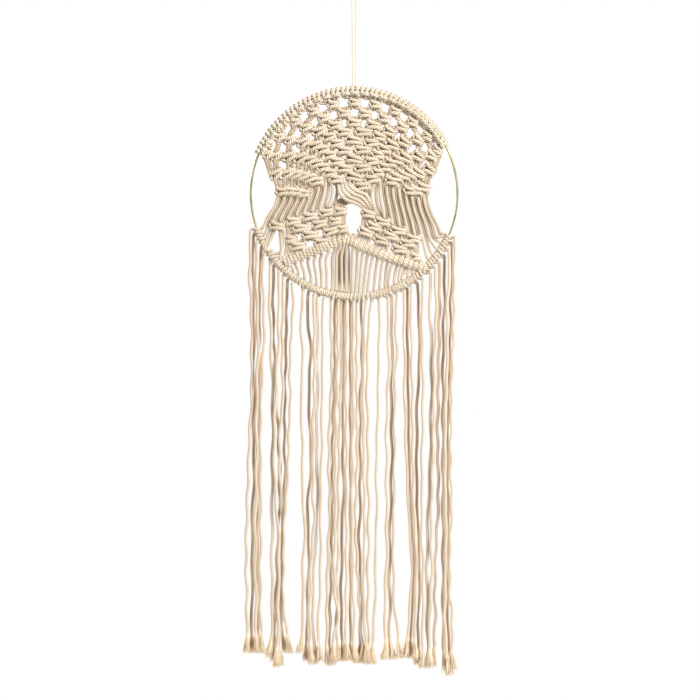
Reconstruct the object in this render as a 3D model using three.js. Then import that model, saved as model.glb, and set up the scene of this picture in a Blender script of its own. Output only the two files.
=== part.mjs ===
// A macrame dream catcher: a thin metal hoop that hangs from a doubled cord, a knotted cotton web
// inside the hoop, and a long fringe of loose strands below it.
//
// Units are millimetres, +Z is up and the front faces -Y. The origin is where a hook carries the
// hanger's loop, straight above the hoop's centre.

import * as THREE from 'three';

// ---------------------------------------------------------------- driving dimensions

const HOOP_RADIUS = 148.5; // to the middle of the wire
const HOOP_WIRE = 3;
const HANGER_LENGTH = 150; // from the hook to the middle of the wire at the hoop's top
const HANGER_CORD = 2;
const HANGER_SPREAD = 3.6; // between the hanger's two legs where they reach the hoop
const HANGER_LOOP_WIDTH = 8; // across the loop that goes over the hook, to the middle of its cord
const CORD = 5; // the three-ply cotton cord of the web and the fringe
const KNOT_THICKNESS = 11; // the knotted web, front to back
const BARE_THICKNESS = 5.6; // the stretches of cord with no knots in them
const CENTRE_KNOT_THICKNESS = 13;

// ---------------------------------------------------------------- clearances

const WIRE_CLEARANCE = 0.6; // between the wire and what is wrapped round it
const TOUCH_GAP = 0.3; // between pieces that touch on the real object
const PANEL_GAP = 0.8; // measured up and down between two stretches of the web

// ---------------------------------------------------------------- what follows from them

const WRAP_RADIUS = HOOP_WIRE / 2 + CORD; // outside of the cord that is wrapped round the wire
const HANGER_WRAP_RADIUS = HOOP_WIRE / 2 + WIRE_CLEARANCE + HANGER_CORD;
const HANGER_KNOT_WIDTH = 3 * HANGER_CORD + 2;
const WEB_RADIUS = HOOP_RADIUS - WRAP_RADIUS - 2 * TOUCH_GAP;
const HOOP_Z = -HANGER_LENGTH - HOOP_RADIUS;
const FRINGE_RADIUS = HOOP_RADIUS + WRAP_RADIUS + CORD / 2 + TOUCH_GAP;

// The web's pattern is drawn for a web of this radius, and it is stretched to the one in use.
const PATTERN_RADIUS = 141.4;
const STRETCH = WEB_RADIUS / PATTERN_RADIUS;

// The fringe is drawn for strands that leave the hoop at this radius.
const FRINGE_PATTERN_RADIUS = 157.8;
const FRINGE_STRETCH = FRINGE_RADIUS / FRINGE_PATTERN_RADIUS;

// ---------------------------------------------------------------- materials

const BRASS = { color: 0xb5a56a, roughness: 0.35, metalness: 0.9 };
const COTTON = { color: 0xe6d8c0, roughness: 0.95, metalness: 0 };
const HANGER_COTTON = { color: 0xdccdb6, roughness: 0.95, metalness: 0 };

const dreamCatcher = new THREE.Group();

function addPiece(name, geometry, finish, parent = dreamCatcher) {
  const mesh = new THREE.Mesh(geometry, new THREE.MeshStandardMaterial(finish));
  mesh.name = name;
  parent.add(mesh);
  return mesh;
}

// Everything on the hoop is placed from the hoop's centre.
const onHoop = new THREE.Group();
onHoop.position.z = HOOP_Z;
dreamCatcher.add(onHoop);

const radians = THREE.MathUtils.degToRad;

// ---------------------------------------------------------------- shared shapes

// An arc of the hoop's centre line, from one angle to another, in degrees from +X towards +Z.
class HoopArc extends THREE.Curve {
  constructor(from, to) {
    super();
    this.from = radians(from);
    this.to = radians(to);
  }

  getPoint(t, target = new THREE.Vector3()) {
    const angle = this.from + (this.to - this.from) * t;
    return target.set(HOOP_RADIUS * Math.cos(angle), 0, HOOP_RADIUS * Math.sin(angle));
  }
}

function circle(radius, sides) {
  const points = [];
  for (let i = 0; i < sides; i += 1) {
    const angle = (2 * Math.PI * (i + 0.5)) / sides;
    points.push(new THREE.Vector2(radius * Math.cos(angle), radius * Math.sin(angle)));
  }
  return points;
}

// A round cord along a curve.
function cordAlong(curve, diameter, steps, sides = 8) {
  const section = new THREE.Shape(circle(diameter / 2, sides));
  return new THREE.ExtrudeGeometry(section, { steps, extrudePath: curve });
}

// A pipe along a curve: cord wrapped round the wire, side by side.
function sleeveAlong(curve, outerRadius, innerRadius, steps, sides = 10) {
  const section = new THREE.Shape(circle(outerRadius, sides));
  section.holes.push(new THREE.Path(circle(innerRadius, sides)));
  return new THREE.ExtrudeGeometry(section, { steps, extrudePath: curve });
}

// A flat stretch of the web: an outline seen from the front, centred on the hoop's plane.
function flatStretch(shape, thickness) {
  const geometry = new THREE.ExtrudeGeometry(shape, {
    depth: thickness,
    bevelEnabled: false,
    curveSegments: 16,
  });
  geometry.rotateX(Math.PI / 2);
  geometry.translate(0, thickness / 2, 0);
  return geometry;
}

// Points of the web's pattern, stretched to the hoop.
function stretched(points) {
  return points.map(([x, z]) => new THREE.Vector2(x * STRETCH, z * STRETCH));
}

function lowered(points, drop) {
  return points.map((point) => new THREE.Vector2(point.x, point.y - drop));
}

// The height of a line of points at one x, the points running left to right.
function heightAt(line, x) {
  for (let i = 1; i < line.length; i += 1) {
    if (x <= line[i].x) {
      const share = (x - line[i - 1].x) / (line[i].x - line[i - 1].x);
      return line[i - 1].y + share * (line[i].y - line[i - 1].y);
    }
  }
  return line[line.length - 1].y;
}

// A shape whose outline runs along some points and back along an arc of the hoop's inside.
function alongHoop(points, arcFrom, arcTo, clockwise) {
  const shape = new THREE.Shape();
  shape.absarc(0, 0, WEB_RADIUS, radians(arcFrom), radians(arcTo), clockwise);
  for (const point of points) {
    shape.lineTo(point.x, point.y);
  }
  shape.closePath();
  return shape;
}

function addHole(shape, points) {
  shape.holes.push(new THREE.Path(points));
}

// ---------------------------------------------------------------- hoop and hanger

const WIRE_SEGMENTS = 64;

const hoopGeometry = new THREE.TorusGeometry(HOOP_RADIUS, HOOP_WIRE / 2, 8, WIRE_SEGMENTS);
hoopGeometry.rotateX(Math.PI / 2);
addPiece('hoop', hoopGeometry, BRASS, onHoop);

// The hanger is one cord, doubled: up one leg, over the hook and down the other leg.
const legFoot = -HANGER_LENGTH + HANGER_WRAP_RADIUS + TOUCH_GAP;
const loopHalf = HANGER_LOOP_WIDTH / 2;
const hangerRoute = [
  [-HANGER_SPREAD / 2, legFoot],
  [-HANGER_SPREAD / 2 - 0.1, legFoot + 20],
  [-2.1, -90],
  [-2.3, -55],
  [-2.5, -30],
  [-3.1, -17],
  [-loopHalf + 0.2, -9],
  [-loopHalf, -3.2],
  [-loopHalf * 0.7, -0.3],
  [0, HANGER_CORD / 2],
  [loopHalf * 0.7, -0.3],
  [loopHalf, -3.2],
  [loopHalf - 0.2, -9],
  [3.1, -17],
  [2.5, -30],
  [2.3, -55],
  [2.1, -90],
  [HANGER_SPREAD / 2 + 0.1, legFoot + 20],
  [HANGER_SPREAD / 2, legFoot],
].map(([x, z]) => new THREE.Vector3(x, 0, z));
addPiece(
  'hanger_loop',
  cordAlong(new THREE.CatmullRomCurve3(hangerRoute, false, 'centripetal'), HANGER_CORD, 40),
  HANGER_COTTON,
);

// The knot that ties the hanger round the wire.
const knotAxis = new THREE.LineCurve3(
  new THREE.Vector3(-HANGER_KNOT_WIDTH / 2, 0, -HANGER_LENGTH),
  new THREE.Vector3(HANGER_KNOT_WIDTH / 2, 0, -HANGER_LENGTH),
);
addPiece(
  'hanger_knot',
  sleeveAlong(knotAxis, HANGER_WRAP_RADIUS, HOOP_WIRE / 2 + WIRE_CLEARANCE, 1, 16),
  HANGER_COTTON,
);

// ---------------------------------------------------------------- cord wrapped round the wire

const LARK_HEADS_FROM = 27; // right-hand end of the wrapped arc, in degrees
const LARK_HEADS_TO = 158;
const HITCHES_FROM = 199; // left-hand end of the hitched arc
const HITCHES_TO = 341;
const knotHalfAngle = THREE.MathUtils.radToDeg((HANGER_KNOT_WIDTH / 2 + 2 * TOUCH_GAP) / HOOP_RADIUS);
const meetHalfAngle = THREE.MathUtils.radToDeg(TOUCH_GAP / HOOP_RADIUS);
const ARC_STEP = 5; // degrees between the facets of a wrapped arc

function addWrap(name, from, to) {
  const geometry = sleeveAlong(
    new HoopArc(from, to),
    WRAP_RADIUS,
    HOOP_WIRE / 2 + WIRE_CLEARANCE,
    Math.ceil((to - from) / ARC_STEP),
  );
  addPiece(name, geometry, COTTON, onHoop);
}

addWrap('lark_heads_left', 90 + knotHalfAngle, LARK_HEADS_TO);
addWrap('lark_heads_right', LARK_HEADS_FROM, 90 - knotHalfAngle);
addWrap('hoop_hitches_left', HITCHES_FROM, 270 - meetHalfAngle);
addWrap('hoop_hitches_right', 270 + meetHalfAngle, HITCHES_TO);

// ---------------------------------------------------------------- the web

// The lines where one stretch of the web ends and the next begins, each from left to right.
const openRowsEdge = stretched([
  [-119.5, 34], [-100, 62], [-60, 92], [0, 106], [60, 93], [100, 64], [117, 40],
]);
const netEdgeLeft = stretched([
  [-112.3, -6.5], [-73.5, -3.6], [-46, 9.3], [-23, 19.4], [-13, 22.8], [0, 24.3],
]);
const netEdgeRight = stretched([
  [0, 24.3], [22.9, 17.3], [44.4, 9.3], [66, 2.2], [87.5, -6.5], [108, -13.7],
]);
const chevronTopLeft = stretched([
  [-133, -47.5], [-120.9, -41.8], [-102.2, -37.5], [-77.8, -28.8], [-49, -21.6], [-13.5, -15.9],
]);
const chevronTopRight = stretched([
  [15.5, -18.8], [34.4, -28.8], [54.5, -41.8], [73.2, -50.4], [91.9, -61.9], [112, -64.5],
  [128, -60.5],
]);
const chevronFootLeft = stretched([
  [-98, -100.6], [-70.6, -88.4], [-34.6, -81.2], [-13, -66.8], [-2.5, -72],
]);
const chevronFootRight = stretched([
  [-1.7, -74], [11.4, -76.9], [44.4, -91.3], [66, -99.9], [85.2, -111],
]);
const sideLeft = stretched([[-125.2, 46.7]]);
const sideRight = stretched([[122, 58.2]]);

function diamond(angle, radius, halfWidth, halfHeight) {
  const x = radius * Math.cos(radians(angle)) * STRETCH;
  const z = radius * Math.sin(radians(angle)) * STRETCH;
  return [
    new THREE.Vector2(x - halfWidth, z),
    new THREE.Vector2(x, z - halfHeight),
    new THREE.Vector2(x + halfWidth, z),
    new THREE.Vector2(x, z + halfHeight),
  ];
}

// The first rows of square knots stand apart, and diamond-shaped holes show between them.
const openRows = alongHoop([...sideLeft, ...openRowsEdge, ...sideRight], 29, 156.5, false);
for (let i = -4; i <= 5; i += 1) {
  if (i !== 0) {
    const turn = Math.sign(i) * (6.4 + 12.5 * (Math.abs(i) - 1));
    addHole(openRows, diamond(90 + turn, 131, 4.5, 6.5));
  }
}
for (let i = -2; i <= 3; i += 1) {
  addHole(openRows, diamond(90 + 13.3 * i, 117, 3.6, 5));
}
addPiece('net_open_rows', flatStretch(openRows, KNOT_THICKNESS), COTTON, onHoop);

// Below them the knots close up into a dense net.
const denseRows = new THREE.Shape([
  ...lowered(openRowsEdge, PANEL_GAP).reverse(),
  ...stretched([[-113.7, 19.4]]),
  ...netEdgeLeft,
  ...netEdgeRight.slice(1),
  ...stretched([[110.5, -3.6], [114.9, 16.5]]),
]);
addPiece('net_dense_rows', flatStretch(denseRows, KNOT_THICKNESS), COTTON, onHoop);

// The cords of the middle gather into one large knot over the open shield-shaped hole.
const centreKnot = new THREE.Shape([
  ...lowered(stretched([[-13, 22.8], [0, 24.3], [21.5, 17.8]]), PANEL_GAP),
  ...stretched([[17, 0], [13, -15], [-9.5, -15], [-12.5, 0]]),
]);
addPiece('centre_knot', flatStretch(centreKnot, CENTRE_KNOT_THICKNESS), COTTON, onHoop);

// Bare cords, side by side, carry the net down to the chevron.
const bareLeft = new THREE.Shape([
  ...lowered(netEdgeLeft.slice(0, 4), PANEL_GAP),
  ...stretched([[-15, 20.5], [-14, -4], [-14, -14.7]]),
  ...lowered(chevronTopLeft.slice(1, 5), -PANEL_GAP).reverse(),
  ...stretched([[-123.8, -28]]),
]);
addPiece('bare_cords_left', flatStretch(bareLeft, BARE_THICKNESS), COTTON, onHoop);

const bareRight = new THREE.Shape([
  ...stretched([[23.5, 15.8]]),
  ...lowered(netEdgeRight.slice(2), PANEL_GAP),
  ...stretched([[110.5, -22.3], [122, -39.5], [122, -59]]),
  ...lowered(chevronTopRight.slice(0, 5), -PANEL_GAP).reverse(),
  ...stretched([[18.5, -2]]),
]);
addPiece('bare_cords_right', flatStretch(bareRight, BARE_THICKNESS), COTTON, onHoop);

// The chevron: a roof-shaped band of square knots, tied to the hoop at both ends.
const chevronLeft = alongHoop(
  [
    ...chevronFootLeft,
    ...stretched([[-2.5, -57.5], [-10, -50], [-11, -18]]),
    ...[...chevronTopLeft].reverse(),
  ],
  199.8,
  225.6,
  false,
);
addHole(chevronLeft, stretched([[-112, -56], [-112, -74], [-107, -81], [-101, -76], [-102, -54]]));
addPiece('chevron_left', flatStretch(chevronLeft, KNOT_THICKNESS), COTTON, onHoop);

const chevronRight = alongHoop(
  [
    ...[...chevronTopRight].reverse(),
    ...stretched([[13.5, -18.8], [11.4, -41], [-1.7, -57.5]]),
    ...chevronFootRight,
  ],
  307.6,
  334.6,
  false,
);
addHole(chevronRight, stretched([[97, -68], [98, -84], [102, -92], [110, -82], [108, -67.5]]));
addPiece('chevron_right', flatStretch(chevronRight, KNOT_THICKNESS), COTTON, onHoop);

// Bare cords drop from the chevron to the hitches on the hoop, with daylight between them.
const DROP_PITCH = 9;
const DROP_EDGE = 3; // cord left above and below each slot
const SHORTEST_SLOT = 8;

// firstSlot is the slot nearest the middle; the others follow it towards the outside.
function addDropCords(name, foot, arcFrom, arcTo, firstSlot) {
  const top = lowered(foot, PANEL_GAP);
  const shape = alongHoop(top, arcFrom, arcTo, true);
  const outward = Math.sign(firstSlot);
  const half = (DROP_PITCH - CORD) / 2;
  const reach = Math.max(Math.abs(top[0].x), Math.abs(top[top.length - 1].x)) - DROP_PITCH;
  for (let x = firstSlot; Math.abs(x) < reach; x += outward * DROP_PITCH) {
    const high = Math.min(heightAt(top, x - half), heightAt(top, x), heightAt(top, x + half)) - DROP_EDGE;
    const low = -Math.sqrt(WEB_RADIUS ** 2 - (Math.abs(x) + half) ** 2) + DROP_EDGE;
    if (high - low > SHORTEST_SLOT) {
      addHole(shape, [
        new THREE.Vector2(x - half, high),
        new THREE.Vector2(x - half, low),
        new THREE.Vector2(x + half, low),
        new THREE.Vector2(x + half, high),
      ]);
    }
  }
  addPiece(name, flatStretch(shape, BARE_THICKNESS), COTTON, onHoop);
}

addDropCords('drop_cords_left', chevronFootLeft, 269.2, 226.6, -8);
addDropCords('drop_cords_right', chevronFootRight, 306.5, 269.6, 7);

// ---------------------------------------------------------------- the fringe

// The fringe hangs in nine bundles that sway apart. Each strand has the layer it lies in (-1 at the
// front, 1 at the back), where it leaves the hoop, its way down and its tip. The way down is given
// by x at steps of LEVEL_STEP, the last one LAST_LEVEL below the hoop's lowest point, and the
// tip's second number is how far it hangs below that point.
const LAYER_DEPTH = CORD + 2 * TOUCH_GAP;
const LEVEL_STEP = 35;
const LAST_LEVEL = 496.5;
const FRINGE_STEPS = 10;

const strands = [
  // bundle 1
  [0, -149,
    [-149, -150, -148, -147, -147, -147, -147, -149, -151, -152, -153, -154, -155, -155, -154, -154, -154],
    [-154, 510]],
  [1, -145,
    [-145, -145, -144, -144, -144, -145, -143, -145, -145, -143, -146, -146, -147, -146, -147, -147, -148],
    [-147, 510]],
  [-1, -140,
    [-140, -140, -140, -138, -138, -139, -140, -140, -140, -140, -141, -142, -142, -142, -141, -141, -141],
    [-140, 510]],
  [1, -134,
    [-135, -136, -136, -136, -136, -136, -136, -137, -138, -138, -139, -139, -139, -138, -138, -137],
    [-135, 510]],
  [-1, -130,
    [-131, -130, -129, -130, -132, -133, -134, -134, -134, -134, -134, -134, -135, -134, -134, -132],
    [-130, 510]],
  // bundle 2
  [0, -120,
    [-121, -121, -120, -119, -118, -117, -117, -117, -118, -118, -118, -118, -118, -118, -117, -120],
    [-122, 516]],
  [1, -116,
    [-116, -117, -116, -115, -113, -112, -110, -108, -107, -107, -108, -110, -111, -112, -114, -114],
    [-117, 522]],
  [-1, -108,
    [-108, -108, -109, -111, -113, -114, -115, -114, -113, -110, -108, -108, -109, -109, -110],
    [-111, 530]],
  [0, -102,
    [-102, -103, -103, -103, -102, -106, -107, -107, -105, -103, -103, -104, -105, -106, -107],
    [-107, 528]],
  [1, -96,
    [-97, -98, -98, -99, -100, -100, -100, -99, -100, -102, -103, -103, -104, -104, -101],
    [-98, 510]],
  [-1, -89, [-87, -89, -91, -92, -91, -93, -94, -95, -97, -100, -101, -101, -102, -99, -94], [-92, 510]],
  // bundle 3
  [0, -73, [-74, -76, -74, -74, -76, -75, -74, -74, -74, -71, -71, -74, -73, -74, -76], [-79, 510]],
  [1, -66, [-67, -66, -62, -64, -65, -64, -62, -62, -66, -67, -65, -65, -67, -67, -68], [-69, 522]],
  [-1, -58, [-57, -57, -57, -57, -59, -58, -59, -59, -57, -60, -62, -63, -64, -63], [-62, 526]],
  [0, -53, [-53, -53, -53, -53, -54, -54, -53, -53, -54, -56, -57, -59, -59, -58], [-56, 526]],
  [-1, -44, [-45, -45, -45, -46, -46, -46, -47, -48, -48, -48, -48, -49, -51, -51], [-49, 522]],
  // bundle 4
  [0, -33, [-33, -32, -32, -33, -35, -36, -36, -35, -35, -37, -38, -39, -39, -39], [-38, 528]],
  [1, -27, [-28, -28, -28, -29, -30, -31, -31, -30, -31, -32, -32, -34, -35, -35], [-33, 528]],
  [-1, -23, [-23, -23, -24, -25, -26, -26, -27, -27, -27, -28, -29, -27, -23, -30], [-30, 526]],
  [0, -19, [-19, -18, -19, -20, -21, -21, -22, -22, -23, -23, -24, -24, -25, -25], [-23, 522]],
  [1, -15, [-15, -15, -15, -16, -16, -16, -16, -14, -18, -17, -18, -19, -18, -17], [-16, 522]],
  [-1, -11, [-11, -11, -11, -12, -11, -11, -11, -11, -11, -11, -11, -11, -12, -11], [-11, 520]],
  // bundle 5
  [1, -5, [-5, -5, -5, -5, -5, -5, -5, -5, -5, -5, -5, -5, -5, -5], [-4, 520]],
  [-1, -1, [-1, -1, -1, -1, -1, -2, -2, -3, -3, -2, -2, -1, 0, 0], [1, 524]],
  [0, 4, [4, 4, 4, 4, 4, 5, 4, 3, 2, 3, 5, 7, 9, 11], [13, 524]],
  [1, 10, [11, 12, 11, 9, 9, 9, 9, 9, 8, 7, 9, 11, 10, 8], [7, 524]],
  [-1, 17, [15, 15, 14, 13, 14, 14, 14, 15, 15, 15, 14, 14, 15, 17], [19, 526]],
  [0, 25, [21, 20, 19, 19, 20, 20, 20, 21, 21, 21, 20, 20, 20, 21], [21, 526]],
  [0, 36, [37, 36, 35, 35, 34, 33, 32, 33, 33, 31, 31, 31, 29, 27], [27, 526]],
  // bundle 6
  [-1, 49, [49, 50, 50, 48, 47, 47, 47, 47, 47, 47, 47, 44, 45, 44], [42, 520]],
  [1, 54, [54, 54, 54, 53, 54, 54, 54, 53, 52, 51, 51, 51, 51, 52], [53, 520]],
  [0, 62, [60, 62, 59, 59, 58, 59, 58, 58, 57, 56, 57, 57, 60, 65], [66, 518]],
  // bundle 7
  [0, 72, [72, 72, 73, 73, 73, 74, 75, 76, 78, 79, 82, 83, 82, 79, 76], [74, 516]],
  [1, 77, [77, 77, 77, 78, 78, 79, 79, 80, 82, 83, 86, 86, 85, 83, 82], [80, 518]],
  [-1, 83, [82, 82, 83, 83, 84, 84, 84, 85, 85, 87, 89, 90, 89, 88, 87], [87, 520]],
  [1, 91, [93, 93, 95, 93, 91, 90, 90, 90, 90, 92, 93, 94, 94, 92, 92], [92, 528]],
  [-1, 99, [98, 98, 98, 99, 99, 99, 98, 97, 98, 97, 98, 99, 99, 99, 98], [98, 532]],
  // bundle 8
  [0, 110, [109, 110, 111, 111, 111, 110, 110, 109, 107, 106, 105, 105, 105, 105, 106], [106, 532]],
  [-1, 117, [117, 118, 118, 116, 115, 115, 114, 114, 113, 112, 111, 111, 112, 110, 109, 108], [109, 530]],
  [1, 123, [123, 123, 122, 122, 121, 121, 120, 120, 121, 121, 120, 118, 117, 116, 117, 115], [114, 530]],
  // bundle 9
  [1, 130, [130, 130, 129, 128, 128, 128, 128, 128, 128, 128, 128, 128, 128, 128, 128, 129], [131, 536]],
  [-1, 136, [137, 134, 134, 134, 133, 132, 131, 131, 131, 131, 132, 132, 131, 131, 130, 132], [136, 542]],
  [1, 141,
    [141, 141, 139, 139, 138, 137, 136, 135, 135, 135, 135, 136, 135, 135, 135, 135, 136],
    [138, 540]],
  [-1, 145,
    [145, 144, 144, 143, 142, 141, 140, 140, 139, 139, 140, 140, 138, 138, 138, 141, 141],
    [142, 534]],
];

function strandGeometry([layer, topX, way, [tipX, tipDrop]]) {
  const y = layer * LAYER_DEPTH;
  const x = topX * FRINGE_STRETCH;
  const points = [new THREE.Vector3(x, y, -Math.sqrt(FRINGE_RADIUS ** 2 - x ** 2))];
  const first = LAST_LEVEL - LEVEL_STEP * (way.length - 1);
  for (let i = 0; i < way.length; i += 1) {
    points.push(new THREE.Vector3(way[i] * FRINGE_STRETCH, y, -HOOP_RADIUS - first - LEVEL_STEP * i));
  }
  points.push(new THREE.Vector3(tipX * FRINGE_STRETCH, y, -HOOP_RADIUS - tipDrop));
  return cordAlong(new THREE.CatmullRomCurve3(points, false, 'centripetal'), CORD, FRINGE_STEPS);
}

strands.forEach((strand, i) => {
  const number = String(i + 1).padStart(2, '0');
  addPiece(`strand_${number}`, strandGeometry(strand), COTTON, onHoop);
});

export default dreamCatcher;
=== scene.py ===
"""A macrame dream catcher: a thin brass hoop on a doubled cord, a knotted cotton web and a long fringe.

Shapes are worked out in millimetres and made in metres. Points on the hoop are (x, y, z) from the
hoop's centre, with +Z up and the front towards -Y.
"""
import math

import bpy
import numpy as np
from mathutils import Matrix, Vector


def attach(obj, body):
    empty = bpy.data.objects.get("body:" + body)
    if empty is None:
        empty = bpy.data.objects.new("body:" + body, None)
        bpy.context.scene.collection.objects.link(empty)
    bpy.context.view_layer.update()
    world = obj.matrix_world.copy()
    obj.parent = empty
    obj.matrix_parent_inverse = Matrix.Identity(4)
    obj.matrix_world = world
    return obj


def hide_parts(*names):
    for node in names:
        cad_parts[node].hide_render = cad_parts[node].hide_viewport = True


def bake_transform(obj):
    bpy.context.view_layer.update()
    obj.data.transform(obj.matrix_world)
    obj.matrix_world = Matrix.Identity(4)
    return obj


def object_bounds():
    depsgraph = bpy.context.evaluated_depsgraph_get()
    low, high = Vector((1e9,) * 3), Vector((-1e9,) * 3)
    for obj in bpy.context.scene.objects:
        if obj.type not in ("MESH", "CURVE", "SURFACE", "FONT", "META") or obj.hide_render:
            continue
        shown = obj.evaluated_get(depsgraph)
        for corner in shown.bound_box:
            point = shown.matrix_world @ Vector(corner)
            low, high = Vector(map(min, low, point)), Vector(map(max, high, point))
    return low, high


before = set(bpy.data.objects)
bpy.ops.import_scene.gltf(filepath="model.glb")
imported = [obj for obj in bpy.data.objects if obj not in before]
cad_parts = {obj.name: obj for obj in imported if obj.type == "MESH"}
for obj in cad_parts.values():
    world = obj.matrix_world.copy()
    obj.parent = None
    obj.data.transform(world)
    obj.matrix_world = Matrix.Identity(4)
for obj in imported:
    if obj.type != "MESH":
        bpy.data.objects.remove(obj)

cad_box = [list(corner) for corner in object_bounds()]
random = np.random.default_rng(24)

MM = 0.001
HOOP_RADIUS = 148.5  # to the middle of the wire
WIRE_RADIUS = 1.5
HANGER_LENGTH = 150.0  # from the hook to the middle of the wire at the hoop's top
HOOP_Z = -HANGER_LENGTH - HOOP_RADIUS
CORD = 5.0
LAY = 11.0  # the length in which the cord's plies turn once round
HANGER_CORD = 2.0
HANGER_LAY = 5.6
WEB_RADIUS = 141.4  # where the net's columns leave the hoop
FRINGE_RADIUS = 157.8  # where the fringe leaves the hitches
LAYER_DEPTH = 5.6  # between the fringe's layers
LEVEL_STEP = 35.0  # between the heights at which a strand's x is given
LAST_LEVEL = 496.5  # below the hoop's lowest point
STRANDS = 44

# ---------------------------------------------------------------- camera

VIEW_CENTRE = (-0.0059, 0.0, -0.5235)
VIEW_WIDTH = 1.0063
CAMERA_DISTANCE = 8.0

camera_data = bpy.data.cameras.new("camera")
camera_data.sensor_width = 36
camera_data.lens = camera_data.sensor_width * CAMERA_DISTANCE / VIEW_WIDTH
camera = bpy.data.objects.new("camera", camera_data)
camera.location = (VIEW_CENTRE[0], -CAMERA_DISTANCE, VIEW_CENTRE[2])
camera.rotation_euler = (math.pi / 2, 0, 0)
bpy.context.scene.collection.objects.link(camera)
bpy.context.scene.camera = camera


# ---------------------------------------------------------------- materials


def new_material(name):
    material = bpy.data.materials.new(name)
    material.use_nodes = True
    return material, material.node_tree.nodes, material.node_tree.links


def ramp(nodes, stops):
    node = nodes.new("ShaderNodeValToRGB")
    while len(node.color_ramp.elements) < len(stops):
        node.color_ramp.elements.new(0.5)
    for element, (place, colour) in zip(node.color_ramp.elements, stops):
        element.position = place
        element.color = (*colour, 1)
    return node


def mixed(nodes, links, kind, factor, first, second):
    """A colour mix: first and second are sockets or colours, factor a socket or a number."""
    node = nodes.new("ShaderNodeMix")
    node.data_type = "RGBA"
    node.blend_type = kind
    for socket, value in ((node.inputs["Factor"], factor), (node.inputs[6], first), (node.inputs[7], second)):
        if isinstance(value, bpy.types.NodeSocket):
            links.new(value, socket)
        elif isinstance(value, tuple):
            socket.default_value = (*value, 1)
        else:
            socket.default_value = value
    return node.outputs[2]


def noise(nodes, links, vector, scale, detail):
    node = nodes.new("ShaderNodeTexNoise")
    node.inputs["Scale"].default_value = scale
    node.inputs["Detail"].default_value = detail
    links.new(vector, node.inputs["Vector"])
    return node


def drawn_out(nodes, links, place, scale):
    """The surface's own coordinates, stretched along the cord or wire."""
    node = nodes.new("ShaderNodeMapping")
    node.inputs["Scale"].default_value = scale
    links.new(place.outputs["UV"], node.inputs["Vector"])
    return node.outputs["Vector"]


def add_bump(nodes, links, height, strength, distance):
    node = nodes.new("ShaderNodeBump")
    node.inputs["Strength"].default_value = strength
    node.inputs["Distance"].default_value = distance
    links.new(height, node.inputs["Height"])
    links.new(node.outputs["Normal"], nodes["Principled BSDF"].inputs["Normal"])


def cotton(name, light, deep, valley):
    """Spun cotton: fibres along the plies, painted shade in the valleys between them, and uneven natural
    colour.
    """
    material, nodes, links = new_material(name)
    shader = nodes["Principled BSDF"]
    shader.inputs["Roughness"].default_value = 0.92
    shader.inputs["Sheen Weight"].default_value = 0.35
    shader.inputs["Sheen Roughness"].default_value = 0.5
    shader.inputs["Specular IOR Level"].default_value = 0.15
    place = nodes.new("ShaderNodeTexCoord")
    uneven = noise(nodes, links, place.outputs["Object"], 38, 3)
    natural = ramp(nodes, [(0.32, deep), (0.62, light)])
    links.new(uneven.outputs["Fac"], natural.inputs["Fac"])
    fibres = noise(nodes, links, drawn_out(nodes, links, place, (90, 26, 1)), 1, 4)
    fibres.inputs["Roughness"].default_value = 0.65
    streaks = ramp(nodes, [(0.3, (0.80, 0.78, 0.74)), (0.6, (1, 1, 1))])
    links.new(fibres.outputs["Fac"], streaks.inputs["Fac"])
    spun = mixed(nodes, links, "MULTIPLY", 0.8, natural.outputs["Color"], streaks.outputs["Color"])
    # Painted shade: each point's amount mixes the colour towards the dark valley colour.
    painted_shade = nodes.new("ShaderNodeAttribute")
    painted_shade.attribute_name = "painted_shade"
    painted_shade_plies = mixed(nodes, links, "MIX", painted_shade.outputs["Fac"], spun, valley)
    links.new(painted_shade_plies, shader.inputs["Base Color"])
    add_bump(nodes, links, fibres.outputs["Fac"], 0.6, 0.0004)
    return material


def brass():
    """Thin brass-plated wire: drawn lengthwise, dulled in patches."""
    material, nodes, links = new_material("brushed_brass")
    shader = nodes["Principled BSDF"]
    shader.inputs["Metallic"].default_value = 1.0
    place = nodes.new("ShaderNodeTexCoord")
    drawn = noise(nodes, links, drawn_out(nodes, links, place, (60, 14, 1)), 1, 3)
    tarnish = noise(nodes, links, place.outputs["Object"], 55, 2)
    dulled = ramp(nodes, [(0.35, (0.42, 0.36, 0.15)), (0.6, (0.68, 0.60, 0.28))])
    links.new(tarnish.outputs["Fac"], dulled.inputs["Fac"])
    lines = ramp(nodes, [(0.3, (0.82, 0.82, 0.8)), (0.7, (1, 1, 1))])
    links.new(drawn.outputs["Fac"], lines.inputs["Fac"])
    colour = mixed(nodes, links, "MULTIPLY", 1.0, dulled.outputs["Color"], lines.outputs["Color"])
    links.new(colour, shader.inputs["Base Color"])
    rough = nodes.new("ShaderNodeMapRange")
    rough.inputs["To Min"].default_value = 0.28
    rough.inputs["To Max"].default_value = 0.48
    links.new(drawn.outputs["Fac"], rough.inputs["Value"])
    links.new(rough.outputs["Result"], shader.inputs["Roughness"])
    add_bump(nodes, links, drawn.outputs["Fac"], 0.25, 0.0001)
    return material


# Each cotton's light and deep shades, and the painted shade in the valleys between its plies.
COTTON = cotton("cotton", (0.88, 0.81, 0.70), (0.81, 0.71, 0.57), (0.19, 0.115, 0.065))
# Painted shade: a darker copy of the cotton for the web, standing in for the shade between its knots.
WEB_PAINTED_SHADE_COTTON = cotton("web_painted_shade_cotton", (0.765, 0.695, 0.585), (0.69, 0.60, 0.475), (0.22, 0.14, 0.075))
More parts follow.
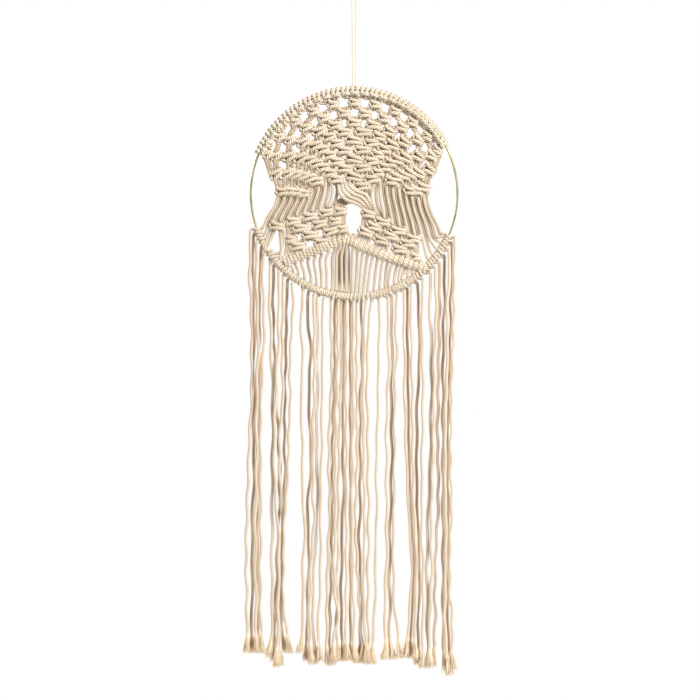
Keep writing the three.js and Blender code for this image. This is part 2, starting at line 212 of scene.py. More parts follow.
# Painted shade: a darker, browner copy of the cotton for the strands in the fringe's back layer.
BACK_PAINTED_SHADE_COTTON = cotton("back_painted_shade_cotton", (0.79, 0.66, 0.50), (0.67, 0.51, 0.35), (0.19, 0.11, 0.06))
HANGER_COTTON = cotton("hanger_cotton", (0.83, 0.74, 0.62), (0.74, 0.63, 0.50), (0.42, 0.31, 0.21))
FRAYED = cotton("frayed_cotton", (0.90, 0.76, 0.57), (0.78, 0.60, 0.41), (0.60, 0.45, 0.30))
BRASS = brass()

# ---------------------------------------------------------------- meshes

FINER = 1.5  # points on a curve before they are spaced evenly, for each one after
CLOSEST_POINTS = 0.3  # nearer ones are left out of a route


def add_mesh(name, points, quads, caps, uvs, painted_shades, material):
    """A smooth mesh from arrays: points in millimetres, quads, end caps, a uv and an amount of painted shade
    for each point.
    """
    mesh = bpy.data.meshes.new(name)
    mesh.vertices.add(len(points))
    mesh.vertices.foreach_set("co", (points * MM).astype(np.float32).ravel())
    loops = np.concatenate([quads.ravel(), *[np.asarray(cap) for cap in caps]]).astype(np.int32)
    sizes = np.concatenate([np.full(len(quads), 4), [len(cap) for cap in caps]]).astype(np.int32)
    mesh.loops.add(len(loops))
    mesh.loops.foreach_set("vertex_index", loops)
    mesh.polygons.add(len(sizes))
    mesh.polygons.foreach_set("loop_start", (np.cumsum(sizes) - sizes).astype(np.int32))
    mesh.update(calc_edges=True)
    mesh.polygons.foreach_set("use_smooth", np.ones(len(sizes), bool))
    layer = mesh.uv_layers.new(name="along")
    layer.data.foreach_set("uv", uvs[loops].astype(np.float32).ravel())
    # The amount of painted shade at each point, which the cotton mixes in.
    painted_shade = mesh.attributes.new("painted_shade", "FLOAT", "POINT")
    painted_shade.data.foreach_set("value", painted_shades.astype(np.float32))
    mesh.materials.append(material)
    mesh.validate()
    piece = bpy.data.objects.new(name, mesh)
    bpy.context.scene.collection.objects.link(piece)
    return piece


def steps_along(route):
    return np.linalg.norm(np.diff(route, axis=0), axis=1)


def distance_along(route):
    return np.concatenate([[0], np.cumsum(steps_along(route))])


def smooth_route(points, step):
    """A centripetal Catmull-Rom curve through points, in steps of about one length."""
    points = np.asarray(points, float)
    ends = 2 * points[[0, -1]] - points[[1, -2]]
    route = np.vstack([ends[0], points, ends[1]])
    gaps = np.maximum(steps_along(route), 1e-6)
    knots = np.concatenate([[0], np.cumsum(np.sqrt(gaps))])
    fine = []
    for i in range(1, len(route) - 2):
        count = max(2, int(math.ceil(gaps[i] / step * FINER)))
        t = np.linspace(knots[i], knots[i + 1], count, endpoint=False)[:, None]
        a = [(knots[j + 1] - t) / (knots[j + 1] - knots[j]) * route[j]
             + (t - knots[j]) / (knots[j + 1] - knots[j]) * route[j + 1] for j in (i - 1, i, i + 1)]
        b = [(knots[i + 1 + k] - t) / (knots[i + 1 + k] - knots[i - 1 + k]) * a[k]
             + (t - knots[i - 1 + k]) / (knots[i + 1 + k] - knots[i - 1 + k]) * a[k + 1] for k in (0, 1)]
        fine.append((knots[i + 1] - t) / (knots[i + 1] - knots[i]) * b[0]
                    + (t - knots[i]) / (knots[i + 1] - knots[i]) * b[1])
    fine = np.vstack([*fine, points[-1:]])
    lengths = distance_along(fine)
    even = np.linspace(0, lengths[-1], max(3, int(round(lengths[-1] / step)) + 1))
    return np.stack([np.interp(even, lengths, fine[:, k]) for k in range(3)], axis=1)


def side_vectors(route):
    """Two vectors across a route at each point, which turn no more than the route does."""
    tangents = np.gradient(route, axis=0)
    tangents /= np.linalg.norm(tangents, axis=1)[:, None]
    side = np.array([0.0, -1.0, 0.0]) if abs(tangents[0][1]) < 0.9 else np.array([1.0, 0.0, 0.0])
    across = np.empty_like(route)
    for i, tangent in enumerate(tangents):
        side = side - tangent * side.dot(tangent)
        side /= math.sqrt(side.dot(side))
        across[i] = side
    return across, np.cross(tangents, across)


ROPE_SIDES = 12
PLIES = 3
ROPE_STEP = 1.15
GROOVE_DEPTH = 0.33  # of the rope's radius
SHARP_VALLEY = 1.3  # a lower power makes the painted shade in the valleys between the plies wider
WIDE_VALLEY = 0.85
CREVICE_DEPTH = 5.0  # how far from the web's middle plane the cotton still gets painted shade
CREVICE_SHADE = 0.62
BARE_SHADE = 0.42  # the painted shade between cords that hang side by side


class Rope:
    """Collects stretches of twisted rope into one mesh."""

    def __init__(self, valley=SHARP_VALLEY):
        self.valley = valley
        self.points, self.quads, self.caps, self.uvs, self.painted_shades = [], [], [], [], []
        self.count = 0

    def add(self, route, across, over, radius, turn, distance):
        """One stretch: rings along route, with a radius and a turn of the plies for each ring."""
        rings = len(route)
        around = np.arange(ROPE_SIDES) * 2 * math.pi / ROPE_SIDES
        hollow = 1 - np.abs(np.cos(PLIES * around / 2))
        angle = around[None, :] + turn[:, None]
        reach = radius[:, None] * (1 - GROOVE_DEPTH * hollow[None, :])
        ring = (route[:, None, :] + across[:, None, :] * (reach * np.cos(angle))[:, :, None]
                + over[:, None, :] * (reach * np.sin(angle))[:, :, None])
        first = self.count + np.arange(rings - 1)[:, None] * ROPE_SIDES
        a = np.arange(ROPE_SIDES)[None, :]
        b = (a + 1) % ROPE_SIDES
        quads = np.stack([first + a, first + b, first + ROPE_SIDES + b, first + ROPE_SIDES + a], axis=2)
        self.points.append(ring.reshape(-1, 3))
        self.quads.append(quads.reshape(-1, 4))
        self.caps.append(self.count + np.arange(ROPE_SIDES)[::-1])
        self.caps.append(self.count + (rings - 1) * ROPE_SIDES + np.arange(ROPE_SIDES))
        uv = np.empty((rings, ROPE_SIDES, 2))
        uv[:, :, 0] = distance[:, None] * MM
        uv[:, :, 1] = np.abs(2 * a / ROPE_SIDES - 1)
        self.uvs.append(uv.reshape(-1, 2))
        # Painted shade: the deeper a point lies in the hollows between the plies, the darker its colour.
        self.painted_shades.append(np.tile(hollow**self.valley, rings))
        self.count += rings * ROPE_SIDES

    def paint_crevice_shade(self, shade):
        """Cord near the web's middle plane lies between knots, where painted shade makes the cotton browner.
        """
        for points, painted_shades in zip(self.points, self.painted_shades):
            hidden = np.clip(1 - np.abs(points[:, 1]) / CREVICE_DEPTH, 0, 1)
            painted_shades += shade * hidden * (1 - painted_shades)

    def mesh(self, name, material, slot, centre=(0, 0, HOOP_Z)):
        return add_mesh(name, np.vstack(self.points) + np.array(centre), np.vstack(self.quads), self.caps,
                        np.vstack(self.uvs), np.concatenate(self.painted_shades), material)


def lay_rope(route, diameter, lay, labels, ropes, radius=None, phase=None):
    """Lays a rope along a fine route. labels says which rope each step belongs to."""
    across, over = side_vectors(route)
    distance = distance_along(route)
    phase = random.uniform(0, 2 * math.pi) if phase is None else phase
    turn = phase - distance * 2 * math.pi / lay
    radius = np.full(len(route), diameter / 2) if radius is None else radius
    start = 0
    for i in range(1, len(route)):
        if i == len(route) - 1 or labels[i] != labels[start]:
            part = slice(start, i + 1)
            ropes[labels[start]].add(route[part], across[part], over[part], radius[part], turn[part],
                                     distance[part])
            start = i


# ---------------------------------------------------------------- the fringe

# Each strand: its layer, where it leaves the hoop, its way down and its tip.
BUNDLES = [
    [  # bundle 1
        [0, -149,
         [-149, -150, -148, -147, -147, -147, -147, -149, -151, -152, -153, -154, -155, -155, -154,
          -154, -154],
         [-154, 510]],
        [1, -145,
         [-145, -145, -144, -144, -144, -145, -143, -145, -145, -143, -146, -146, -147, -146, -147,
          -147, -148],
         [-147, 510]],
        [-1, -140,
         [-140, -140, -140, -138, -138, -139, -140, -140, -140, -140, -141, -142, -142, -142, -141,
          -141, -141],
         [-140, 510]],
        [1, -134,
         [-135, -136, -136, -136, -136, -136, -136, -137, -138, -138, -139, -139, -139, -138, -138,
          -137],
         [-135, 510]],
        [-1, -130,
         [-131, -130, -129, -130, -132, -133, -134, -134, -134, -134, -134, -134, -135, -134, -134,
          -132],
         [-130, 510]],
    ],
    [  # bundle 2
        [0, -120,
         [-121, -121, -120, -119, -118, -117, -117, -117, -118, -118, -118, -118, -118, -118, -117,
          -120],
         [-122, 516]],
        [1, -116,
         [-116, -117, -116, -115, -113, -112, -110, -108, -107, -107, -108, -110, -111, -112, -114,
          -114],
         [-117, 522]],
        [-1, -108,
         [-108, -108, -109, -111, -113, -114, -115, -114, -113, -110, -108, -108, -109, -109, -110],
         [-111, 530]],
        [0, -102,
         [-102, -103, -103, -103, -102, -106, -107, -107, -105, -103, -103, -104, -105, -106, -107],
         [-107, 528]],
        [1, -96,
         [-97, -98, -98, -99, -100, -100, -100, -99, -100, -102, -103, -103, -104, -104, -101],
         [-98, 510]],
        [-1, -89,
         [-87, -89, -91, -92, -91, -93, -94, -95, -97, -100, -101, -101, -102, -99, -94],
         [-92, 510]],
    ],
    [  # bundle 3
        [0, -73,
         [-74, -76, -74, -74, -76, -75, -74, -74, -74, -71, -71, -74, -73, -74, -76],
         [-79, 510]],
        [1, -66,
         [-67, -66, -62, -64, -65, -64, -62, -62, -66, -67, -65, -65, -67, -67, -68],
         [-69, 522]],
        [-1, -58, [-57, -57, -57, -57, -59, -58, -59, -59, -57, -60, -62, -63, -64, -63], [-62, 526]],
        [0, -53, [-53, -53, -53, -53, -54, -54, -53, -53, -54, -56, -57, -59, -59, -58], [-56, 526]],
        [-1, -44, [-45, -45, -45, -46, -46, -46, -47, -48, -48, -48, -48, -49, -51, -51], [-49, 522]],
    ],
    [  # bundle 4
        [0, -33, [-33, -32, -32, -33, -35, -36, -36, -35, -35, -37, -38, -39, -39, -39], [-38, 528]],
        [1, -27, [-28, -28, -28, -29, -30, -31, -31, -30, -31, -32, -32, -34, -35, -35], [-33, 528]],
        [-1, -23, [-23, -23, -24, -25, -26, -26, -27, -27, -27, -28, -29, -27, -23, -30], [-30, 526]],
        [0, -19, [-19, -18, -19, -20, -21, -21, -22, -22, -23, -23, -24, -24, -25, -25], [-23, 522]],
        [1, -15, [-15, -15, -15, -16, -16, -16, -16, -14, -18, -17, -18, -19, -18, -17], [-16, 522]],
        [-1, -11, [-11, -11, -11, -12, -11, -11, -11, -11, -11, -11, -11, -11, -12, -11], [-11, 520]],
    ],
    [  # bundle 5
        [1, -5, [-5, -5, -5, -5, -5, -5, -5, -5, -5, -5, -5, -5, -5, -5], [-4, 520]],
        [-1, -1, [-1, -1, -1, -1, -1, -2, -2, -3, -3, -2, -2, -1, 0, 0], [1, 524]],
        [0, 4, [4, 4, 4, 4, 4, 5, 4, 3, 2, 3, 5, 7, 9, 11], [13, 524]],
        [1, 10, [11, 12, 11, 9, 9, 9, 9, 9, 8, 7, 9, 11, 10, 8], [7, 524]],
        [-1, 17, [15, 15, 14, 13, 14, 14, 14, 15, 15, 15, 14, 14, 15, 17], [19, 526]],
        [0, 25, [21, 20, 19, 19, 20, 20, 20, 21, 21, 21, 20, 20, 20, 21], [21, 526]],
        [0, 36, [37, 36, 35, 35, 34, 33, 32, 33, 33, 31, 31, 31, 29, 27], [27, 526]],
    ],
    [  # bundle 6
        [-1, 49, [49, 50, 50, 48, 47, 47, 47, 47, 47, 47, 47, 44, 45, 44], [42, 520]],
        [1, 54, [54, 54, 54, 53, 54, 54, 54, 53, 52, 51, 51, 51, 51, 52], [53, 520]],
        [0, 62, [60, 62, 59, 59, 58, 59, 58, 58, 57, 56, 57, 57, 60, 65], [66, 518]],
    ],
    [  # bundle 7
        [0, 72, [72, 72, 73, 73, 73, 74, 75, 76, 78, 79, 82, 83, 82, 79, 76], [74, 516]],
        [1, 77, [77, 77, 77, 78, 78, 79, 79, 80, 82, 83, 86, 86, 85, 83, 82], [80, 518]],
        [-1, 83, [82, 82, 83, 83, 84, 84, 84, 85, 85, 87, 89, 90, 89, 88, 87], [87, 520]],
        [1, 91, [93, 93, 95, 93, 91, 90, 90, 90, 90, 92, 93, 94, 94, 92, 92], [92, 528]],
        [-1, 99, [98, 98, 98, 99, 99, 99, 98, 97, 98, 97, 98, 99, 99, 99, 98], [98, 532]],
    ],
    [  # bundle 8
        [0, 110,
         [109, 110, 111, 111, 111, 110, 110, 109, 107, 106, 105, 105, 105, 105, 106],
         [106, 532]],
        [-1, 117,
         [117, 118, 118, 116, 115, 115, 114, 114, 113, 112, 111, 111, 112, 110, 109, 108],
         [109, 530]],
        [1, 123,
         [123, 123, 122, 122, 121, 121, 120, 120, 121, 121, 120, 118, 117, 116, 117, 115],
         [114, 530]],
    ],
    [  # bundle 9
        [1, 130,
         [130, 130, 129, 128, 128, 128, 128, 128, 128, 128, 128, 128, 128, 128, 128, 129],
         [131, 536]],
        [-1, 136,
         [137, 134, 134, 134, 133, 132, 131, 131, 131, 131, 132, 132, 131, 131, 130, 132],
         [136, 542]],
        [1, 141,
         [141, 141, 139, 139, 138, 137, 136, 135, 135, 135, 135, 136, 135, 135, 135, 135, 136],
         [138, 540]],
        [-1, 145,
         [145, 144, 144, 143, 142, 141, 140, 140, 139, 139, 140, 140, 138, 138, 138, 141, 141],
         [142, 534]],
    ],
]
FRAY_LENGTH = 30.0
FRAYED_RADIUS = 0.8
TAPER = 0.6  # how soon a strand thins out over its frayed length
WAVE_LENGTH = (42, 75)  # of the small bends left by the knots and the packing
WAVE_HEIGHT = (0.5, 1.2)
WAVE_GROWS = 60.0  # below the hoop, until the bends are full size
THREADS = 72  # in a frayed tip
THREAD_SIDES = 3
THREAD_RINGS = 7
THREAD_RADIUS = 0.44
THREAD_TAPER = 0.3
THREAD_START = (-4, 9)  # from where the fraying starts
THREAD_END = (-3.5, 4)  # up from the strand's tip
THREAD_CURL = 1.6
BROOM_RADIUS = 6.5
BROOM_FLARE = 1.15
BROOM_WAIST = 1.2  # the threads' distance from the middle where they start


def strand_route(layer, top_x, way, tip):
    y = layer * LAYER_DEPTH
    first = LAST_LEVEL - LEVEL_STEP * (len(way) - 1)
    points = [(top_x, y, -math.sqrt(FRINGE_RADIUS**2 - top_x**2))]
    points += [(x, y, -HOOP_RADIUS - first - LEVEL_STEP * i) for i, x in enumerate(way)]
    points.append((tip[0], y, -HOOP_RADIUS - tip[1]))
    route = smooth_route(points, ROPE_STEP)
    down = np.arange(len(route)) * ROPE_STEP
    wave = 2 * math.pi * down / random.uniform(*WAVE_LENGTH) + random.uniform(0, 2 * math.pi)
    route[:, 0] += random.uniform(*WAVE_HEIGHT) * np.sin(wave) * np.clip(down / WAVE_GROWS, 0, 1)
    return route


def fray(name, route):
    """The strand's last stretch opens into a broom of single threads."""
    lengths = distance_along(route)
    around = np.arange(THREAD_SIDES) * 2 * math.pi / THREAD_SIDES
    points, quads, caps = [], [], []
    for k in range(THREADS):
        angle = random.uniform(0, 2 * math.pi)
        outward = np.array([math.cos(angle), math.sin(angle), 0])
        spread = BROOM_RADIUS * math.sqrt(random.uniform(0.02, 1))
        begin = lengths[-1] - FRAY_LENGTH + random.uniform(*THREAD_START)
        lifted = random.uniform(*THREAD_END)
        curl = random.uniform(-THREAD_CURL, THREAD_CURL, 2)
        for i in range(THREAD_RINGS):
            share = i / (THREAD_RINGS - 1)
            at = begin + share * (lengths[-1] - begin)
            middle = np.array([np.interp(at, lengths, route[:, axis]) for axis in range(3)])
            middle += outward * (BROOM_WAIST + (spread - BROOM_WAIST) * share**BROOM_FLARE)
            middle += np.array([curl[0] * math.sin(3 * share), curl[1] * math.sin(2.4 * share), 0]) * share
            middle[2] += lifted * share**2
            thick = THREAD_RADIUS * (1 - THREAD_TAPER * share)
            for turn in around:
                points.append(middle + thick * np.array([math.cos(turn), math.sin(turn), 0]))
        base = k * THREAD_RINGS * THREAD_SIDES
        for ring in range(base, base + (THREAD_RINGS - 1) * THREAD_SIDES, THREAD_SIDES):
            for j in range(THREAD_SIDES):
                a, b = ring + j, ring + (j + 1) % THREAD_SIDES
                quads.append((a, a + THREAD_SIDES, b + THREAD_SIDES, b))
        caps.append([base + j for j in range(THREAD_SIDES)])
        caps.append([base + (THREAD_RINGS - 1) * THREAD_SIDES + j for j in reversed(range(THREAD_SIDES))])
    points = np.array(points)
    turns = np.tile(np.arange(THREAD_SIDES) / THREAD_SIDES, THREADS * THREAD_RINGS)
    uvs = np.stack([points[:, 2] * MM, turns], axis=1)
    return add_mesh(name, points + np.array((0, 0, HOOP_Z)), np.array(quads), caps, uvs,
                    np.zeros(len(points)), FRAYED)


def build_fringe():
    rows = [(f"fringe_{b + 1}", row) for b, bundle in enumerate(BUNDLES) for row in bundle]
    for i, (body, (layer, top_x, way, tip)) in enumerate(rows):
        number = f"{i + 1:02d}"
        route = strand_route(layer, top_x, way, tip)
        from_end = (len(route) - 1 - np.arange(len(route))) * ROPE_STEP
        share = np.clip(from_end / FRAY_LENGTH, 0, 1)
        radius = FRAYED_RADIUS + (CORD / 2 - FRAYED_RADIUS) * share**TAPER
        rope = Rope(WIDE_VALLEY)
        lay_rope(route, CORD, LAY, [0] * len(route), [rope], radius)
        # Strands in the back layer get the cotton with painted shade.
        strand = rope.mesh(f"strand_rope_{number}", BACK_PAINTED_SHADE_COTTON if layer > 0 else COTTON, "cotton_cord")
        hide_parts(f"strand_{number}")
        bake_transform(strand)
        tuft = fray(f"frayed_end_{number}", route)
        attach(tuft, body)


build_fringe()

# ---------------------------------------------------------------- the hanger

LEG_FOOT = -145.6
HANGER_ROUTE = [
    (-1.8, 0, LEG_FOOT), (-1.9, 0, LEG_FOOT + 20), (-2.1, 0, -90), (-2.3, 0, -55), (-2.5, 0, -30),
    (-3.1, 0, -17), (-3.8, 0, -9), (-4, 0, -3.2), (-2.8, 0, -0.3), (0, 0, 1), (2.8, 0, -0.3),
    (4, 0, -3.2), (3.8, 0, -9), (3.1, 0, -17), (2.5, 0, -30), (2.3, 0, -55), (2.1, 0, -90),
    (1.9, 0, LEG_FOOT + 20), (1.8, 0, LEG_FOOT),
]
HANGER_STEP = 0.6

# Half of the hanger's knot, from its leg round the wire to the middle of the bar behind the legs.
HANGER_HITCH = [
    (1.8, 0, 4.4), (1.9, -2.0, 3.2), (2.1, -2.9, 0.8), (2.4, -2.4, -1.8), (2.8, -0.6, -2.9),
    (3.0, 1.6, -2.5), (3.1, 2.9, -0.4), (3.0, 2.9, 1.8), (2.3, 2.3, 3.6), (1.0, 1.9, 4.3), (0, 1.9, 4.4),
]


def build_hanger():
    route = smooth_route(HANGER_ROUTE, HANGER_STEP)
    rope = Rope()
    lay_rope(route, HANGER_CORD, HANGER_LAY, [0] * len(route), [rope], phase=0)
    hanger = rope.mesh("hanger_cord_doubled", HANGER_COTTON, "hanger_cord", (0, 0, 0))
    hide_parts("hanger_loop")
    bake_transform(hanger)
    left = [(-x, y, z) for x, y, z in HANGER_HITCH]
    route = smooth_route(left + HANGER_HITCH[-2::-1], HANGER_STEP)
    rope = Rope()
    lay_rope(route, HANGER_CORD, HANGER_LAY, [0] * len(route), [rope], phase=0)
    knot = rope.mesh("hanger_hitch", HANGER_COTTON, "hanger_cord", (0, 0, -HANGER_LENGTH))
    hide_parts("hanger_knot")
    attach(knot, "hanger_tie")


build_hanger()

# ---------------------------------------------------------------- the hoop

HOOP_STEPS = 480
WIRE_SIDES = 16


def build_hoop():
    along = np.arange(HOOP_STEPS) * 2 * math.pi / HOOP_STEPS
    around = np.arange(WIRE_SIDES) * 2 * math.pi / WIRE_SIDES
    reach = HOOP_RADIUS + WIRE_RADIUS * np.cos(around)
    points = np.stack([np.cos(along)[:, None] * reach, np.tile(WIRE_RADIUS * np.sin(around), (HOOP_STEPS, 1)),
                       np.sin(along)[:, None] * reach], axis=2).reshape(-1, 3)
    i, j = np.arange(HOOP_STEPS)[:, None] * WIRE_SIDES, np.arange(WIRE_SIDES)[None, :]
    after, beside = (i + WIRE_SIDES) % (HOOP_STEPS * WIRE_SIDES), (j + 1) % WIRE_SIDES
    quads = np.stack([i + j, i + beside, after + beside, after + j], axis=2).reshape(-1, 4)
    uvs = np.stack(np.broadcast_arrays(along[:, None] * HOOP_RADIUS * MM, np.abs(2 * j / WIRE_SIDES - 1)),
                   axis=2).reshape(-1, 2)
    hoop = add_mesh("hoop_wire", points + np.array((0, 0, HOOP_Z)), quads, [], uvs, np.zeros(len(points)),
                    BRASS)
    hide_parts("hoop")
    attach(hoop, "hoop")


build_hoop()

# ---------------------------------------------------------------- the web's layout

# A strand's number, from 0 at the left, is also its place across the web. The lines below are read
# at that place: 22 is the middle.
HEADS = 24
HEADS_FROM = 158.0  # degrees, at the left
HEADS_TO = 27.0
MIDDLE = 22
KNOT_TURN = 3.125  # degrees of the hoop for each strand in the top rows
CLOSE_FROM = 40  # from this place on the strands leave the hoop closer together
CLOSE_TURN = 1.55
NET_ROWS = (10.4, 26.0, 39.6, 52.6, 65.6, 78.6, 91.6, 104.6, 117.6, 130.6)  # down from the hoop's inside
NET_MARGIN = 3.0  # left under a column's last knot
TURN_IN = 75.0  # length in which a column moves in from the hoop to its place at the net's lower edge
TURN_IN_SHAPE = ([0, 0.35, 0.53, 0.7, 0.9, 1], [0, 0.22, 0.6, 0.9, 1, 1])
HITCHES_FROM = 199.8  # degrees, where the first and the last strand are hitched
HITCHES_TO = 340.2

# Places across the web, with the x at which each lies on one of the web's lines.
NET_FOOT_X = ([0, 14, 18, 22, 26, 44], [-112, -44, -25, 0, 26, 108])
CHEVRON_TOP_LEFT_X = ([0, 18, 22], [-132, -29, -11])
CHEVRON_TOP_RIGHT_X = ([22, 26, 44], [12, 30, 128])
DROP_X = ([8, 15, 16, 21, 22, 36], [-97, -31, -24.5, -8, -1.5, 99])

# The lines themselves, from left to right.
NET_EDGE = np.array([
    (-112.3, -6.5), (-73.5, -3.6), (-46, 9.3), (-23, 17.4), (-13, 16), (0, 10), (12, -4), (24, 12),
    (44.4, 9.3), (66, 2.2), (87.5, -6.5), (108, -13.7),
])
CHEVRON_TOP_LEFT = np.array([
    (-133, -47.5), (-120.9, -41.8), (-102.2, -37.5), (-77.8, -28.8), (-49, -21.6), (-13.5, -15.9),
])
CHEVRON_TOP_RIGHT = np.array([
    (15.5, -18.8), (34.4, -28.8), (54.5, -41.8), (73.2, -50.4), (91.9, -61.9), (112, -64.5), (128, -60.5),
])
CHEVRON_FOOT_LEFT = np.array([
    (-98.6, -98), (-70.6, -87.5), (-45, -79), (-25, -69.5), (-13, -67), (-2.5, -70),
])
CHEVRON_FOOT_RIGHT = np.array([
    (-1.7, -70), (11.4, -77), (44.4, -90), (66, -97), (86, -103), (99, -107),
])
CLOSE_BUNDLE = range(16, 22)  # strands that hang in two layers below the chevron's middle
TIED_LEFT = 8  # strands that the chevron's outer ends tie straight to the hoop
TIED_RIGHT = 37

TOP_X = [row[1] for bundle in BUNDLES for row in bundle]
LAYERS = [row[0] for bundle in BUNDLES for row in bundle]


def on_hoop(angle, radius):
    return np.array([radius * math.cos(math.radians(angle)), radius * math.sin(math.radians(angle))])


def drop_x(strand):
    """Where a strand leaves the chevron: evenly spaced, with one close bundle left of the middle."""
    return float(np.interp(strand, *DROP_X))


def is_tied(strand):
    return strand < TIED_LEFT or strand >= TIED_RIGHT


def hitch_angle(strand):
    """Where a strand is hitched to the hoop, in degrees."""
    x = TOP_X[strand] if is_tied(strand) else (TOP_X[strand] + drop_x(strand)) / 2
    angle = math.degrees(math.acos(x / FRINGE_RADIUS))
    return min(max(360 - angle, HITCHES_FROM), HITCHES_TO)


HITCH_ANGLES = [hitch_angle(strand) for strand in range(STRANDS)]


def height_on(line, x):
    return float(np.interp(x, line[:, 0], line[:, 1]))


def arc_angle(place):
    """Where the net's column at a place leaves the hoop, in degrees."""
    return 90 - KNOT_TURN * (min(place, CLOSE_FROM) - MIDDLE) - CLOSE_TURN * max(0, place - CLOSE_FROM)


def net_foot(place):
    x = float(np.interp(place, *NET_FOOT_X))
    return np.array([x, height_on(NET_EDGE, x)])


def net_column(place, share):
    """A point of a column of the net, from the hoop at share 0 to the net's lower edge at 1."""
    top, foot = on_hoop(arc_angle(place), WEB_RADIUS), net_foot(place)
    length = float(np.linalg.norm(foot - top))
    across = float(np.interp(share * length / min(TURN_IN, length), *TURN_IN_SHAPE))
    return np.array([top[0] + (foot[0] - top[0]) * across, top[1] + (foot[1] - top[1]) * share])


def chevron_top(place):
    left = place < MIDDLE
    x = float(np.interp(place, *(CHEVRON_TOP_LEFT_X if left else CHEVRON_TOP_RIGHT_X)))
    return np.array([x, height_on(CHEVRON_TOP_LEFT if left else CHEVRON_TOP_RIGHT, x)])


def chevron_foot(place):
    strand = place - 0.5
    if strand < TIED_LEFT - 0.5 or strand > TIED_RIGHT - 0.5:
        return on_hoop(float(np.interp(strand, range(STRANDS), HITCH_ANGLES)), WEB_RADIUS - 2)
    x = drop_x(strand)
    return np.array([x, height_on(CHEVRON_FOOT_LEFT if place < MIDDLE else CHEVRON_FOOT_RIGHT, x)])


CLEAR_PLACES = 8  # on each side of the middle, whose columns turn in late
CLEAR_LATE = 1.6


def chevron_column(place, share):
    """A point of a column of the chevron. Its columns keep clear of the shield-shaped hole."""
    top, foot = chevron_top(place), chevron_foot(place)
    late = 1 + CLEAR_LATE * max(0, 1 - abs(place - MIDDLE) / CLEAR_PLACES)
    return np.array([top[0] + (foot[0] - top[0]) * share**late, top[1] + (foot[1] - top[1]) * share])


# ---------------------------------------------------------------- knots

# The square knot: two cords straight through, and one worked round them from each side. Points are
# (across, depth, up) from the knot's middle.
LEFT_WORKER = [
    (-6.6, -0.5, 6.9), (-7.5, -2.6, 4.9), (-4.0, -4.5, 3.4), (0, -5.0, 2.8), (4.0, -4.5, 2.5),
    (7.0, -2.3, 1.8), (7.8, -0.2, 0.0), (7.0, -2.3, -1.8), (4.0, -4.5, -2.5), (0, -5.0, -2.8),
    (-4.0, -4.5, -3.4), (-7.1, -2.4, -4.9), (-6.6, -0.5, -6.9),
]
RIGHT_WORKER = [
    (6.6, 0.2, 6.9), (8.3, -2.4, 4.2), (8.5, 1.0, 1.6), (4.0, 4.5, 1.6), (0, 5.0, 1.8), (-4.0, 4.5, 1.6),
    (-7.6, 1.7, 1.8), (-8.9, -1.9, 1.0), (-8.9, -1.9, -1.0), (-7.6, 1.7, -1.8), (-4.0, 4.5, -2.0),
    (0, 5.0, -2.4), (4.0, 4.5, -2.4), (7.8, 1.9, -2.9), (8.3, -1.4, -4.2), (6.6, 0.2, -6.9),
]
LEFT_FILLER = [(-2.3, 0.2, 7.1), (-2.2, 0.3, 3), (-2.1, 0.3, 0), (-2.2, 0.3, -3), (-2.3, 0.2, -7.1)]
RIGHT_FILLER = [(-x, y, z) for x, y, z in LEFT_FILLER]
SQUARE_KNOT = (LEFT_WORKER, LEFT_FILLER, RIGHT_FILLER, RIGHT_WORKER)
KNOT_WIDTH = 22.4  # across the knot as it is drawn above
NARROWEST = 0.74  # of that width
CROWDING = 1.14  # a knot's width for the spacing of its row
SHEAR = 0.45  # how far a knot's bars lean from square across its cords to along its row
LEAN = 0.035  # how much knots differ in their lean
JITTER = 0.25  # and in their place
SLOPE_STEP = 0.02  # of a column, over which its direction is taken

ways = [[] for _ in range(STRANDS)]  # for each strand, points with the piece that each belongs to


def go(strand, piece, points):
    ways[strand] += [(tuple(float(v) for v in point), piece) for point in points]


def flat_points(middle, across, up, template):
    """A template's points, laid out from middle along two directions in the web's plane."""
    places = [(middle + across * x + up * z, y) for x, y, z in template]
    return [(place[0], y, place[1]) for place, y in places]


def tie(first, column, share, piece, widest, stretch=0.0):
    """A square knot on four neighbouring strands at that share of a column.

    It is no wider than widest, and stretch makes it taller where its row runs steeply.
    """
    place = first + 2
    middle = column(place, share)
    down = column(place, min(1, share + SLOPE_STEP)) - column(place, max(0, share - SLOPE_STEP))
    down /= np.linalg.norm(down)
    row = column(place + 1, share) - column(place - 1, share)
    spacing = 2 * float(np.linalg.norm(row))
    row /= np.linalg.norm(row)
    across = np.array([-down[1], down[0]])
    if across.dot(row) < 0:
        across = -across
    across = across * (1 - SHEAR) + row * SHEAR
    across /= np.linalg.norm(across)
    wide = min(widest, max(NARROWEST, CROWDING * spacing / KNOT_WIDTH))
    tall = 1 + stretch * abs(row[1])
    across = across + random.normal(0, LEAN) * down
    middle = middle + random.normal(0, JITTER, 2)
    for k, template in enumerate(SQUARE_KNOT):
        go(first + k, piece, flat_points(middle, across * wide, -down * tall, template))


# ---------------------------------------------------------------- lark's heads

# Half of a lark's head, from the middle of its bar round the wire to its tail. Points are (along the
# hoop, depth, outward from the wire).
LARK_HEAD = [
    (0, -8.4, -4.4), (2.4, -8.0, -4.4), (4.4, -5.4, -4.8), (4.0, -1.6, -4.7), (3.8, 2.2, -3.6),
    (3.6, 4.0, -0.6), (3.6, 3.1, 2.6), (3.6, 0.2, 4.0), (3.5, -2.8, 3.0), (3.4, -4.1, 0.2),
    (3.2, -4.4, -3.0), (3.0, -3.2, -6.4), (3.0, -1.6, -9.0),
]
LEFT_OUT = (5, 17, 30, 42)  # tails that run behind the net and stay hidden
HIDDEN_SHARE = 0.07  # of a column of the net, where such a tail ends
HIDDEN_DEPTH = 4.5
HEAD_PITCH = (HEADS_FROM - HEADS_TO) / HEADS


